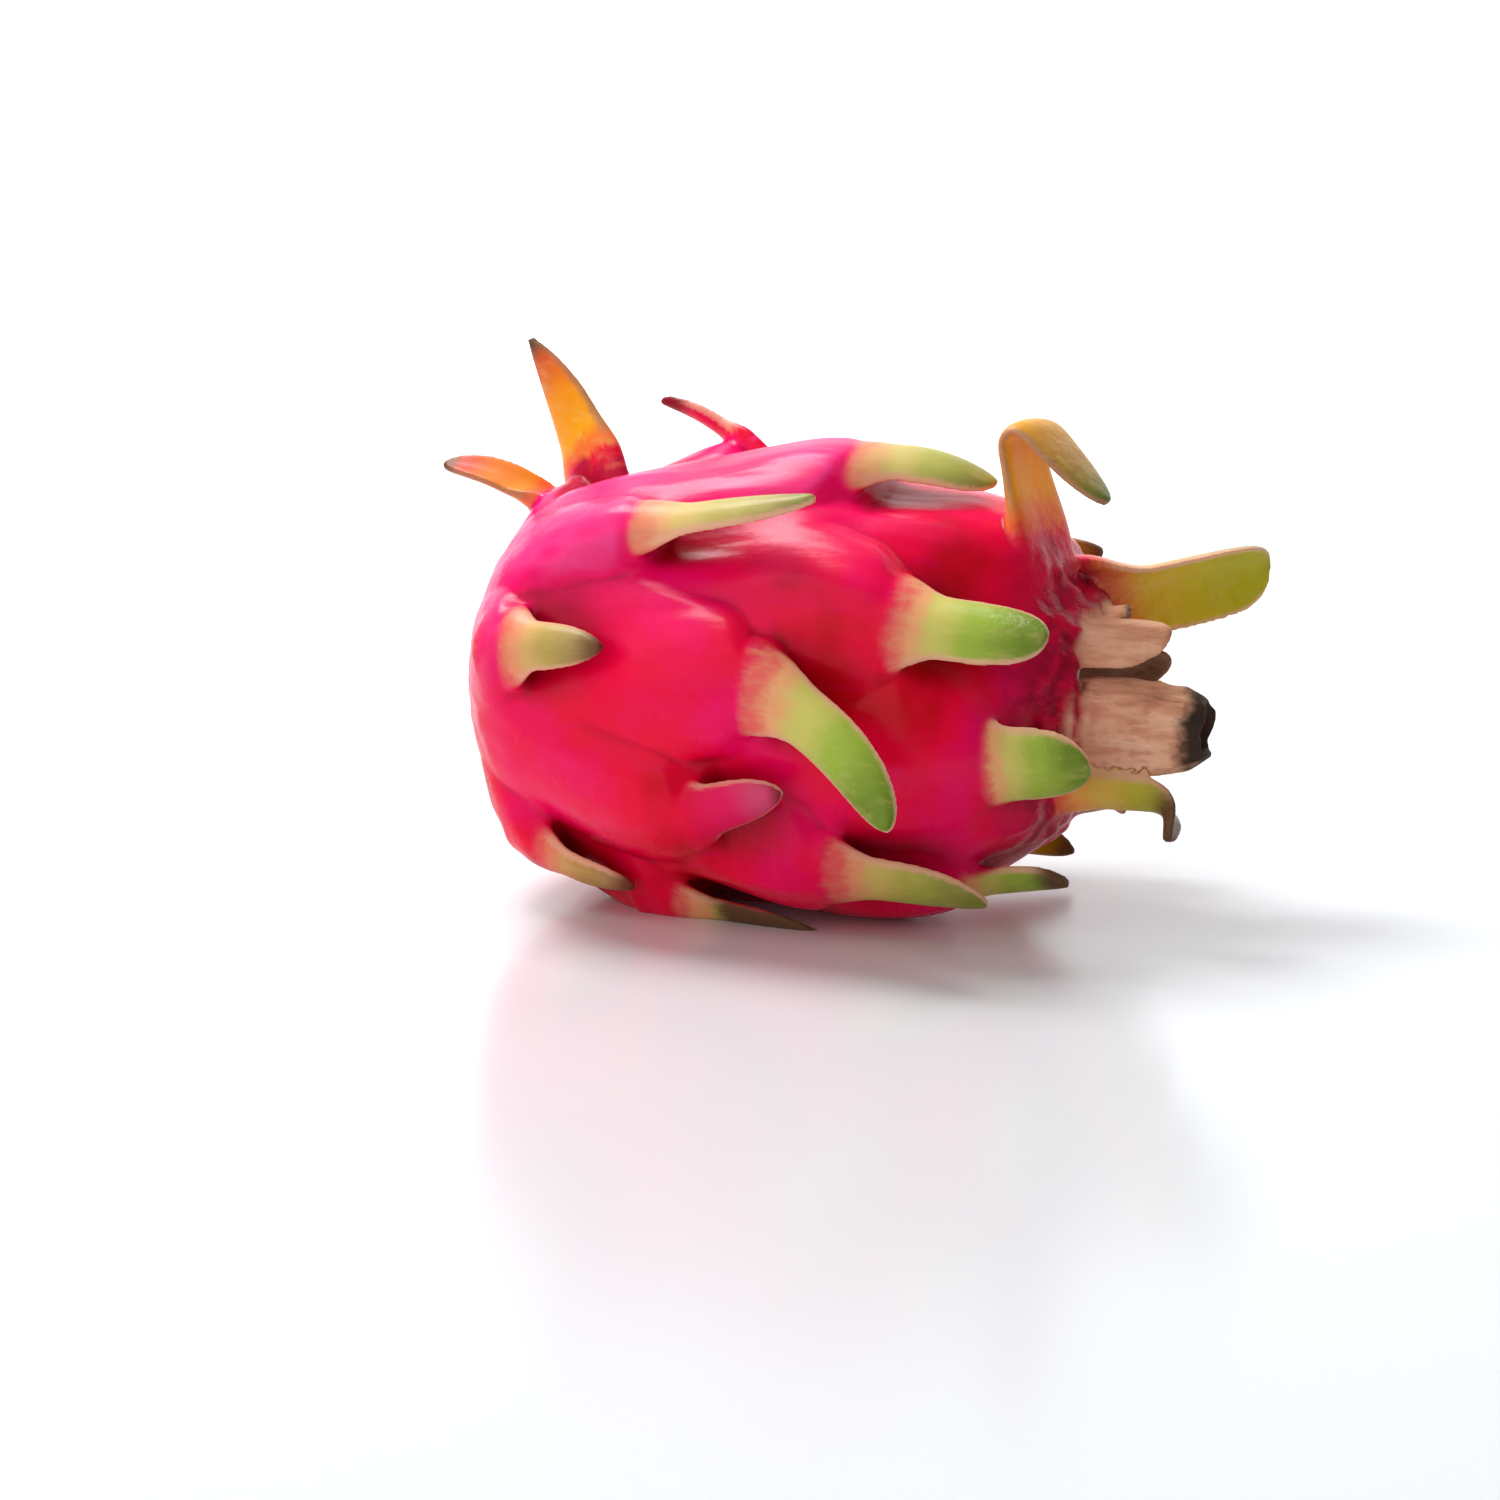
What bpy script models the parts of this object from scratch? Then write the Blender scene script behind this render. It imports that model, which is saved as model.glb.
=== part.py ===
"""A whole dragon fruit (red pitaya) lying on its side, as one closed solid.

The frame: +Z is up, +X runs along the fruit's axis from the stem end to the crown, where the flower
was, and -Y is the front. The origin is the middle of the flat spot that the fruit rests on. Places on
the skin are given by `along`, the distance from the widest place towards the crown, and `around`, the
angle about the axis from the top (0) over the front (90) and the underside (180) to the back (270).
"""
from math import cos, pi, radians, sin, sqrt
from typing import NamedTuple

import bmesh
import bpy
from mathutils import Matrix, Vector

# The body, in metres: a turned shape before its swells are added.
BODY_DIAMETER = 0.0845    # at the widest place
STEM_REACH = 0.060        # from the widest place back to the stem end
STEM_FULLNESS = 2.9       # exponent of the stem half's outline, 2 being an ellipse
CROWN_REACH = 0.056       # from the widest place forward to the crown's rim
REST_DEPTH = 0.0016       # how deep the turned body is pressed flat where it rests, swells included

# The crown, where the flower dried off: a recess inside a rounded rim.
RIM_DIAMETER = 0.039      # across the top of the rim
RIM_ROUNDING = 0.0028     # radius of the rim's edge
RECESS_DEPTH = 0.009      # from the rim down to the recess's floor
RECESS_DIAMETER = 0.026   # across the floor
RECESS_BULGE = 0.0008     # how far the recess's wall bulges at half its depth

# The stem end: a cut stub in a shallow dip.
STUB_DIAMETER = 0.011
STUB_LENGTH = 0.0035
STUB_BEVEL = 0.0009       # worn edge of the cut
STUB_FLARE = 0.0003       # how much wider the stub is at its root, in radius
DIP_DIAMETER = 0.019
DIP_DEPTH = 0.0016

# The swell that carries each scale runs from the scale's root back towards the stem.
SWELL_HEIGHT = 0.0052
SWELL_RUN = 0.034         # length of the swell behind the root
SWELL_STEP = 0.007        # length over which it drops away in front of the root
SWELL_SPREAD = 0.74       # half the swell's width at the root, as a share of the scale's width
SWELL_WIDENING = 0.45     # how much wider it is at its stem end
SWELL_BOW = 0.5           # how much earlier the step comes at the swell's edges
SWELL_ROUNDING = 0.95     # exponent of the swell's section: more is a sharper ridge
SWELL_JOIN = 5            # exponent that joins neighbouring swells: more is a sharper valley
STEM_FADE = 0.014         # length over which the swells rise from the stem end
CROWN_FADE = 0.004        # length over which they fade at the rim

# The scales: leaf-like outgrowths of the skin. The shares are of a scale's length.
ROOT_THICKNESS = 0.0050
BLADE_THICKNESS = 0.0027
TIP_THICKNESS = 0.0016
ROOT_DEPTH = 0.007        # how far a scale's solid reaches into the body
THIN_FROM = 1 / 3         # share where the root's thickness has run out
TWISTED_FROM = 0.4        # share where the twist is complete
WAIST_AT = 0.36           # share where a scale has narrowed to its waist
TAPER_POWER = 1.2         # exponent of the share in the outline, for a `blunt` of 1
TIP_WIDTH = 0.07          # width left at the very tip, as a share of the scale's
CROWDING = 1.6            # how much closer together the rings lie towards the tip

# The dried flower tube that stands in the crown.
TUBE_DIAMETER = 0.0178
TUBE_LENGTH = 0.034       # from the recess's floor
TUBE_WALL = 0.0020
TUBE_MOUTH_DEPTH = 0.010
TUBE_SUNK = 0.004         # how far its solid reaches below the floor
TUBE_BELLY = 1.05         # its size near the middle, over its diameter
TUBE_SHOULDER = 0.92      # its size at three quarters of its length
TUBE_MOUTH = 0.60         # its size at the mouth
TUBE_RISE = 0.0016        # how far its mouth stands above its root
TUBE_FLATTENING = 0.86    # height of the tube's section over its width
TUBE_OFFSET = 0.0112      # from the fruit's axis to the tube's
TUBE_AROUND = 106

# Fineness of the faceted solid.
BODY_SIDES = 48
BODY_RINGS = 24
TUBE_SIDES = 12


class Scale(NamedTuple):
    """One scale, with lengths in metres and angles in degrees.

    `place` says where it grows: -1 is the stem end, 0 the widest place and 1 the crown's rim.
    `turn` is its sideways angle at the root and `sweep` how much more it turns by its tip, both
    towards larger `around`. `lift` is its angle from the skin at the root, and `curl` how much more
    it bends away from the skin between the two shares of its length in `bend`. `twist` turns its
    outer face towards larger `around`. `blunt` is 1 for a plain taper, and more for a rounded tip.
    `camber` is the depth of its hollow inner side and `waist` how much it narrows in front of its
    flared root, both as shares of its width. `stations` is how many rings shape it, and a sharp bend
    needs more.
    """
    place: float
    around: float
    length: float
    width: float
    lift: float
    curl: float = 0
    turn: float = 0
    sweep: float = 0
    twist: float = 0
    blunt: float = 2.6
    bend: tuple = (0, 1)
    camber: float = 0.20
    waist: float = 0.40
    stations: int = 7

    @property
    def along(self):
        """Distance of its root from the widest place, in metres."""
        return self.place * (STEM_REACH if self.place < 0 else CROWN_REACH)


SCALES = {
    # Front and top, as they lie from the stem end to the crown.
    "stem_top": Scale(-0.87, -4, 0.024, 0.010, 100, 26, twist=-34, blunt=3.4, waist=0.2),
    "stem_flag": Scale(-0.76, -12, 0.030, 0.020, 80, 14, turn=-54, blunt=1.5, camber=0.06, waist=0.15),
    "shoulder_top": Scale(-0.27, -24, 0.022, 0.012, 138, 22, blunt=2.2),
    "upper_front": Scale(-0.35, 42, 0.038, 0.0125, 12, -8, twist=-26, blunt=3.0, waist=0.15),
    "top_long": Scale(0.24, 8, 0.028, 0.021, 16, -32, twist=10, blunt=3.8),
    "middle_front": Scale(0.09, 80, 0.042, 0.018, 14, 4, turn=14, sweep=44, blunt=4.0),
    "right_front": Scale(0.52, 61, 0.031, 0.020, 20, 4, turn=6, blunt=5.0),
    "low_left_front": Scale(-0.12, 114, 0.022, 0.017, 2, -4, turn=-22, twist=-8),
    "low_right_front": Scale(0.81, 104, 0.021, 0.021, 22, 8, turn=-2, blunt=3.4, waist=0.3),
    "under_front": Scale(0.29, 132, 0.031, 0.020, 8, 4, turn=6, blunt=2.8),
    "under_left": Scale(-0.27, 154, 0.030, 0.020, 2, 2, turn=-6),
    "under_right": Scale(0.66, 152, 0.022, 0.018, 14, 6, blunt=4.0),
    # Around the crown's rim.
    "crown_hook": Scale(0.88, 10, 0.044, 0.019, 146, -148, turn=18, blunt=4.5,
                        bend=(0.38, 0.64), camber=0.06, waist=0.15, stations=15),
    "crown_strap": Scale(0.95, -49, 0.034, 0.036, 65, 4, twist=8, blunt=8.0),
    "crown_low": Scale(0.98, 135, 0.029, 0.018, 50, 84, blunt=4.0, bend=(0.6, 0.92)),
    "crown_back": Scale(0.77, 262, 0.024, 0.018, 44, 10),
    "crown_under": Scale(0.82, 222, 0.022, 0.017, 12, 14),
    # Back and underside, in the same spiral.
    "stem_front": Scale(-0.74, 74, 0.024, 0.016, 4, -30),
    "stem_low": Scale(-0.70, 138, 0.022, 0.015, 4, -26),
    "stem_back": Scale(-0.75, 214, 0.023, 0.016, 6, -20),
    "stem_back_high": Scale(-0.75, 288, 0.024, 0.016, 24, 10),
    "back_high_left": Scale(-0.33, 300, 0.030, 0.018, 20, 24),
    "back_left": Scale(-0.30, 254, 0.032, 0.019, 18, 12, turn=-6),
    "back_low_left": Scale(-0.27, 206, 0.030, 0.018, 6, 4, turn=8),
    "back_middle": Scale(0.18, 280, 0.036, 0.019, 20, 18, sweep=-16, blunt=3.4),
    "back_low": Scale(0.21, 230, 0.035, 0.019, 10, 8, turn=-10),
    "back_high_right": Scale(0.36, 302, 0.030, 0.019, 12, 0, blunt=3.6),
    "back_right": Scale(0.54, 252, 0.030, 0.019, 20, 10, blunt=3.6),
}


FLAP_BLUNTNESS = 5        # as a scale's `blunt`


class Flap(NamedTuple):
    """One dried stub of the flower, standing in the crown's recess. `radius` is its root's distance
    from the fruit's axis, and `lift` its angle outwards from the axis's direction."""
    radius: float
    around: float
    length: float
    width: float
    lift: float
    curl: float


FLAPS = {
    "flap_front": Flap(0.0170, 31, 0.027, 0.023, -4, 10),
    "flap_top": Flap(0.0130, 350, 0.017, 0.014, 10, 10),
    "flap_back": Flap(0.0125, 288, 0.022, 0.013, 8, 20),
    "flap_low": Flap(0.0125, 232, 0.018, 0.012, 12, 10),
    "flap_under": Flap(0.0125, 172, 0.019, 0.012, 14, 16),
}

SKIN_COLOR = (0.80, 0.01, 0.10, 1)
SCALE_COLOR = (0.35, 0.50, 0.08, 1)
DRIED_COLOR = (0.60, 0.38, 0.24, 1)

BODY_RADIUS = BODY_DIAMETER / 2
RIM_RADIUS = RIM_DIAMETER / 2
AXIS_HEIGHT = BODY_RADIUS - REST_DEPTH
# The crown half is an ellipse, cut short where it meets the rim.
CROWN_SEMI_AXIS = CROWN_REACH / sqrt(1 - (RIM_RADIUS / BODY_RADIUS) ** 2)


def smooth_step(value):
    """0 below 0, 1 above 1, and a smooth rise between them."""
    value = min(max(value, 0), 1)
    return value * value * (3 - 2 * value)


def body_radius(along):
    """Radius of the turned body at a place along its axis."""
    if along < 0:
        share = min(-along / STEM_REACH, 1)
        return BODY_RADIUS * (1 - share ** STEM_FULLNESS) ** (1 / STEM_FULLNESS)
    share = min(along / CROWN_SEMI_AXIS, 1)
    return BODY_RADIUS * sqrt(1 - share ** 2)


def radial(around):
    """Unit vector from the axis outwards, at an angle in degrees."""
    return Vector((0, -sin(radians(around)), cos(radians(around))))


def sideways(around):
    """Unit vector along the skin, towards larger `around`."""
    return Vector((0, -cos(radians(around)), -sin(radians(around))))


def swell_at(scale, along, around):
    """One scale's swell at a place on the skin, as a share of its full height."""
    ahead = along - scale.along
    angle = radians((around - scale.around + 180) % 360 - 180)
    aside = abs(angle) * body_radius(scale.along)
    behind = min(max(-ahead / SWELL_RUN, 0), 1)
    half_width = SWELL_SPREAD * scale.width * (1 + SWELL_WIDENING * behind)
    if aside >= half_width:
        return 0
    across = (1 - (aside / half_width) ** 2) ** SWELL_ROUNDING
    bow = SWELL_BOW * half_width * (aside / half_width) ** 2
    if ahead + bow > 0:
        lengthwise = 1 - smooth_step((ahead + bow) / SWELL_STEP)
    else:
        lengthwise = smooth_step(1 + ahead / SWELL_RUN)
    return across * lengthwise


def swell(along, around):
    """Height of the skin over the turned body, where neighbouring swells run into each other."""
    total = sum(swell_at(scale, along, around) ** SWELL_JOIN for scale in SCALES.values())
    ends = smooth_step((along + STEM_REACH) / STEM_FADE) * smooth_step((CROWN_REACH - along) / CROWN_FADE)
    return ends * SWELL_HEIGHT * total ** (1 / SWELL_JOIN)


def on_axis(along):
    """Point of the fruit's axis."""
    return Vector((along, 0, AXIS_HEIGHT))


def skin_point(along, around):
    """Point of the skin, swells included."""
    return on_axis(along) + radial(around) * (body_radius(along) + swell(along, around))


def skin_frame(along, around):
    """Forward, sideways and outward unit vectors of the turned body at a place on its skin."""
    step = 0.0005
    slope = (body_radius(along + step) - body_radius(along - step)) / (2 * step)
    forward = (Vector((1, 0, 0)) + radial(around) * slope).normalized()
    aside = sideways(around)
    return forward, aside, aside.cross(forward)


def body_profile():
    """Places along the axis and radii of the body's rings, from the stub's end to the recess's floor."""
    stub = STUB_DIAMETER / 2
    dip = DIP_DIAMETER / 2
    dip_along = -STEM_REACH * (1 - (dip / BODY_RADIUS) ** STEM_FULLNESS) ** (1 / STEM_FULLNESS)
    rings = [
        (dip_along - STUB_LENGTH, stub - STUB_BEVEL),
        (dip_along - STUB_LENGTH + STUB_BEVEL, stub),
        (dip_along + DIP_DEPTH, stub + STUB_FLARE),
        (dip_along, dip),
    ]
    for ring in range(1, BODY_RINGS):
        along = dip_along + (CROWN_REACH - dip_along) * (1 - cos(pi * ring / BODY_RINGS)) / 2
        rings.append((along, body_radius(along)))
    for turn in (0, 60, 120):
        angle = radians(turn)
        rings.append((CROWN_REACH + RIM_ROUNDING * sin(angle), RIM_RADIUS - RIM_ROUNDING * (1 - cos(angle))))
    floor = CROWN_REACH - RECESS_DEPTH
    rings.append(((CROWN_REACH + floor) / 2, RECESS_DIAMETER / 2 + RECESS_BULGE))
    rings.append((floor, RECESS_DIAMETER / 2))
    rings.append((floor, RECESS_DIAMETER / 4))
    return rings


def loft(name, rings, color):
    """A closed object through rings of points, which all have the same number of points."""
    shape = bmesh.new()
    made = [[shape.verts.new(point) for point in ring] for ring in rings]
    count = len(rings[0])
    for first, second in zip(made, made[1:]):
        for side in range(count):
            after = (side + 1) % count
            shape.faces.new((first[side], first[after], second[after], second[side]))
    shape.faces.new(made[0])
    shape.faces.new(made[-1])
    bmesh.ops.recalc_face_normals(shape, faces=shape.faces)
    mesh = bpy.data.meshes.new(name)
    shape.to_mesh(mesh)
    shape.free()
    mesh.shade_smooth()
    material = bpy.data.materials.new(name)
    material.use_nodes = True
    shader = material.node_tree.nodes["Principled BSDF"]
    shader.inputs["Base Color"].default_value = color
    shader.inputs["Roughness"].default_value = 0.4
    mesh.materials.append(material)
    made_object = bpy.data.objects.new(name, mesh)
    bpy.context.scene.collection.objects.link(made_object)
    return made_object


def make_body():
    """The turned body with its swells, its stub and its recessed crown."""
    rings = []
    for along, radius in body_profile():
        raised = radius >= RIM_RADIUS and -STEM_REACH < along <= CROWN_REACH
        ring = []
        for side in range(BODY_SIDES):
            around = 360 * side / BODY_SIDES
            height = swell(along, around) if raised else 0
            ring.append(on_axis(along) + radial(around) * (radius + height))
        rings.append(ring)
    return loft("dragon_fruit", rings, SKIN_COLOR)


def blade_section(centre, aside, outward, half_width, thickness, camber):
    """Ring of points around a blade: a crescent whose hollow side is its inner one."""
    points = []
    for across, side in ((-1, 0), (-0.6, 1), (0, 1), (0.6, 1), (1, 0), (0.6, -1), (0, -1), (-0.6, -1)):
        sag = 2 * camber * half_width * across ** 2
        rise = side * thickness / 2 * sqrt(1 - across ** 2)
        points.append(centre + aside * half_width * across + outward * (rise - sag))
    return points


def half_width_at(share, scale):
    """Half a blade's width at a share of its length: a flared root, a strap and a rounded tip."""
    taper = (1 - share ** (TAPER_POWER * scale.blunt)) ** (0.5 + 0.5 * scale.blunt ** -1.5)
    waist = 1 - scale.waist * smooth_step(share / WAIST_AT)
    return scale.width / 2 * max(taper * waist, TIP_WIDTH)


def thickness_at(share):
    """A blade's thickness at a share of its length."""
    thinning = smooth_step(share / THIN_FROM)
    body = ROOT_THICKNESS + (BLADE_THICKNESS - ROOT_THICKNESS) * thinning
    return body + (TIP_THICKNESS - BLADE_THICKNESS) * share ** 2


def station_share(station, stations):
    """Share of a blade's length at a station: closer together towards the tip."""
    return 1 - (1 - min(max(station, 0) / (stations - 1), 1)) ** CROWDING


def make_blade(name, root, frame, scale, color):
    """A leaf-like solid that starts inside the body at `root` and bends as its scale says."""
    forward, aside, outward = frame
    rings = []
    centre = root
    for station in range(-1, scale.stations):
        share = station_share(station, scale.stations)
        heading = radians(scale.turn + scale.sweep * share)
        bent = smooth_step((share - scale.bend[0]) / (scale.bend[1] - scale.bend[0]))
        rise = radians(scale.lift + scale.curl * bent)
        level = forward * cos(heading) + aside * sin(heading)
        direction = level * cos(rise) + outward * sin(rise)
        across = aside * cos(heading) - forward * sin(heading)
        face = outward * cos(rise) - level * sin(rise)
        roll = Matrix.Rotation(radians(scale.twist) * smooth_step(share / TWISTED_FROM), 3, direction)
        if station < 0:
            centre_here = root - direction * ROOT_DEPTH
        else:
            centre_here = centre
            step = station_share(station + 1, scale.stations) - share
            centre = centre + direction * scale.length * step
        half_width = half_width_at(share, scale)
        rings.append(blade_section(centre_here, roll @ across, roll @ face,
                                   half_width, thickness_at(share), scale.camber))
    return loft(name, rings, color)


def make_scales():
    """Every scale of the skin, each rooted just under the top of its swell."""
    made = []
    for name, scale in SCALES.items():
        frame = skin_frame(scale.along, scale.around)
        root = skin_point(scale.along, scale.around) - frame[2] * (ROOT_THICKNESS / 2)
        made.append(make_blade("scale_" + name, root, frame, scale, SCALE_COLOR))
    return made


def make_flaps():
    """The dried stubs that stand in the crown's recess."""
    made = []
    for name, flap in FLAPS.items():
        root = on_axis(CROWN_REACH - RECESS_DEPTH) + radial(flap.around) * flap.radius
        frame = (Vector((1, 0, 0)), sideways(flap.around), radial(flap.around))
        shape = Scale(0, flap.around, flap.length, flap.width, flap.lift, flap.curl, blunt=FLAP_BLUNTNESS)
        made.append(make_blade(name, root, frame, shape, DRIED_COLOR))
    return made


def make_tube():
    """The dried flower tube: a short, slightly flattened tube with an open mouth."""
    base = on_axis(CROWN_REACH - RECESS_DEPTH) + radial(TUBE_AROUND) * TUBE_OFFSET
    radius = TUBE_DIAMETER / 2
    inner = TUBE_MOUTH * radius - TUBE_WALL
    rings = []
    for reach, size in (
        (-TUBE_SUNK, radius),
        (0.4 * TUBE_LENGTH, TUBE_BELLY * radius),
        (0.75 * TUBE_LENGTH, TUBE_SHOULDER * radius),
        (TUBE_LENGTH, TUBE_MOUTH * radius),
        (TUBE_LENGTH, TUBE_MOUTH * radius - TUBE_WALL / 2),
        (TUBE_LENGTH - TUBE_MOUTH_DEPTH / 2, inner),
        (TUBE_LENGTH - TUBE_MOUTH_DEPTH, 0.5 * inner),
    ):
        ring = []
        for side in range(TUBE_SIDES):
            angle = 2 * pi * side / TUBE_SIDES
            rise = TUBE_RISE * (reach / TUBE_LENGTH) ** 2
            ring.append(base + Vector((reach, size * TUBE_FLATTENING * cos(angle), size * sin(angle) + rise)))
        rings.append(ring)
    return loft("flower_tube", rings, DRIED_COLOR)


def make_table_cutter():
    """A block under the resting plane, which presses the underside flat."""
    shape = bmesh.new()
    size = 4 * (STEM_REACH + CROWN_REACH)
    bmesh.ops.create_cube(shape, size=size, matrix=Matrix.Translation((0, 0, -size / 2)))
    mesh = bpy.data.meshes.new("table_cutter")
    shape.to_mesh(mesh)
    shape.free()
    cutter = bpy.data.objects.new("table_cutter", mesh)
    bpy.context.scene.collection.objects.link(cutter)
    return cutter


def as_tool(tool):
    """Marks an object that only shapes another one."""
    tool.hide_render = True
    tool.display_type = "WIRE"


def build():
    """Makes the fruit: the body, joined with everything that grows out of it, then pressed flat."""
    for old in list(bpy.data.objects):
        bpy.data.objects.remove(old)
    body = make_body()
    outgrowths = bpy.data.collections.new("outgrowths")
    bpy.context.scene.collection.children.link(outgrowths)
    for piece in make_scales() + make_flaps() + [make_tube()]:
        bpy.context.scene.collection.objects.unlink(piece)
        outgrowths.objects.link(piece)
        as_tool(piece)
    joined = body.modifiers.new("outgrowths", "BOOLEAN")
    joined.operation = "UNION"
    joined.operand_type = "COLLECTION"
    joined.collection = outgrowths
    joined.solver = "MANIFOLD"  # EXACT leaves slivers where a scale's underside grazes the skin
    joined.material_mode = "TRANSFER"
    cutter = make_table_cutter()
    as_tool(cutter)
    pressed = body.modifiers.new("rest_spot", "BOOLEAN")
    pressed.operation = "DIFFERENCE"
    pressed.object = cutter
    pressed.solver = "MANIFOLD"
    return body


build()
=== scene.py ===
"""The looks of a dragon fruit that lies on its side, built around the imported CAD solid.

The fruit's skin, scales, dried crown and stem stub grow out of one another, so they are one mesh: a
turned body with swells and a leaf-like blade for each scale, joined by a voxel remesh and smoothed
where they meet. Attributes on its points say what each one is (how far along a scale, how far across
it, dried or not), and one procedural material turns them into colours.

Places on the skin are given by `along`, the distance from the widest place towards the crown, and
`around`, the angle about the axis from the top (0) over the front (90) to the underside (180).
"""
from math import cos, pi, radians, sin
from typing import NamedTuple

import bpy
import numpy as np
from mathutils import Matrix, Vector, noise
from mathutils.kdtree import KDTree


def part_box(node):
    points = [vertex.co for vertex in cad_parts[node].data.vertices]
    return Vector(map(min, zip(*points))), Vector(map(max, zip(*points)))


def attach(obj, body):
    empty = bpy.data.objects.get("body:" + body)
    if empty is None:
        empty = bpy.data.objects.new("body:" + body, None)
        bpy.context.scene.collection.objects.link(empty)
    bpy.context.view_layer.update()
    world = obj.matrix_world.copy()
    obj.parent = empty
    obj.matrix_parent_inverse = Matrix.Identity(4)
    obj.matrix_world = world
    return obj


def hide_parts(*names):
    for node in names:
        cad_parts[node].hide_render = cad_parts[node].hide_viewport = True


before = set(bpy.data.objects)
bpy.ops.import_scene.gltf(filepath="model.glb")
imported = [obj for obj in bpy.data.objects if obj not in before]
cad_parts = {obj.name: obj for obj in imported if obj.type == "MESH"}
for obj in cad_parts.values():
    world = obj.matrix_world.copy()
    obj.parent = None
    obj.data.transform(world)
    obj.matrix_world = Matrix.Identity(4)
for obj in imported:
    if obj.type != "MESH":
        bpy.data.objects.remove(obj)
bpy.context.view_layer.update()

NODE = "dragon_fruit"
CAD_LOW, CAD_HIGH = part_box(NODE)

# Blender's noise starts from the clock unless it is given a seed.
NOISE_SEED = 1
noise.seed_set(NOISE_SEED)

# The design's own sizes, in metres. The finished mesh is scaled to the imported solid's length.
BODY_DIAMETER = 0.0845
STEM_REACH = 0.060
STEM_FULLNESS = 2.9
CROWN_REACH = 0.056
REST_DEPTH = 0.0016
RIM_DIAMETER = 0.039
RIM_ROUNDING = 0.0028
RECESS_DEPTH = 0.009
RECESS_DIAMETER = 0.026
STUB_DIAMETER = 0.011
STUB_LENGTH = 0.0035
DIP_DIAMETER = 0.019
DIP_DEPTH = 0.0016
SWELL_HEIGHT = 0.0054
SWELL_RUN = 0.034
SWELL_STEP = 0.007
SWELL_SPREAD = 0.74
SWELL_WIDENING = 0.45
SWELL_BOW = 0.5
SWELL_ROUNDING = 0.95
SWELL_JOIN = 5            # exponent that joins neighbouring swells: more is a sharper valley
STEM_FADE = 0.014
CROWN_FADE = 0.004
HOLLOW_DEPTH = 0.0030     # how deep the skin sinks in front of a scale's root
HOLLOW_RUN = 0.026
HOLLOW_SPREAD = 0.95      # half a hollow's width, as a share of the scale's
ROOT_THICKNESS = 0.0050
BLADE_THICKNESS = 0.0027
TIP_THICKNESS = 0.0018
ROOT_DEPTH = 0.007
THIN_FROM = 1 / 3
TWISTED_FROM = 0.4
WAIST_AT = 0.36
TAPER_POWER = 1.2
TIP_WIDTH = 0.07
CROWDING = 1.6
TUBE_DIAMETER = 0.0178
TUBE_LENGTH = 0.034
TUBE_WALL = 0.0020
TUBE_MOUTH_DEPTH = 0.010
TUBE_SUNK = 0.004
TUBE_BELLY = 1.05
TUBE_SHOULDER = 0.92
TUBE_MOUTH = 0.60
TUBE_RISE = 0.0016
TUBE_FLATTENING = 0.86
TUBE_OFFSET = 0.0112
TUBE_AROUND = 106
TUBE_EDGE = 0.0012        # rounding of the mouth's edge
TUBE_RIBS = ((5, 0.030, 1.0), (11, 0.018, 2.0))     # each set's count, height and start
TUBE_RAGGED = 0.0006      # how far the mouth's edge runs in and out
TUBE_RAGS = 3             # how many times round the mouth it does so
TUBE_BURNT = 1.1

# Relief of the dried parts.
FOLDS_REACH = 0.012       # how far the rim's folds run down the skin
FOLDS_DEPTH = 0.0016
FOLDS_SIZE = 0.0055
WRINKLE_DEPTH = 0.0007
WRINKLE_SIZE = 0.0030
WRINKLE_STRETCH = (0.3, 1, 1)
FLAP_BLUNTNESS = 5
VEIN_DEPTH = 0.00035      # lengthwise folds all over the skin
VEIN_SIZE = 0.0060
VEIN_STRETCH = (0.22, 1, 1)

BODY_SIDES = 420
BODY_STEPS = 260
TUBE_SIDES = 64
TUBE_STEPS = 5
BLADE_STATIONS = 44
BLADE_POINTS = 22
VOXEL = 0.00046
FILLET = 0.0022           # size of the rounding where a blade grows out of the skin
EVEN_OUT = 0.15
MELT = 0.45
RELAX_ROUNDS = 14
RIM_SHADE = 0.014         # how far down from the rim the skin darkens
MOST_TRIANGLES = 190000
CREASE_ROUNDS = 30        # rounds of smoothing that the creases are measured against
CREASE_SMOOTHING = 0.5
CREASE_DEPTH = 0.00050    # depth that gets the full painted shade of a crease, or height the full painted highlight of a crest

# Where a kind of surface shows, in metres: the distances at which it doesn't at all and fully does.
NEAR_BLADE = (0.00192, 0.00072)       # from a blade's points
OVER_SKIN = (0, 0.0014)               # outwards from the swollen skin
SCALE_PAST_RIM = (0.003, 0.006)       # along the axis, past the crown's rim
DRIED_PAST_RIM = (0, 0.002)
INSIDE_RIM = (0.002, 0.004)           # inwards from the rim, towards the axis
OVER_FLOOR = (-0.002, -0.001)         # along the axis, from the recess's floor
STUB_INWARD = (-0.0012, -0.0004)      # inwards from the stub's side
STUB_OUTWARD = (-0.004, -0.002)       # along the axis, past the stem end

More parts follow.
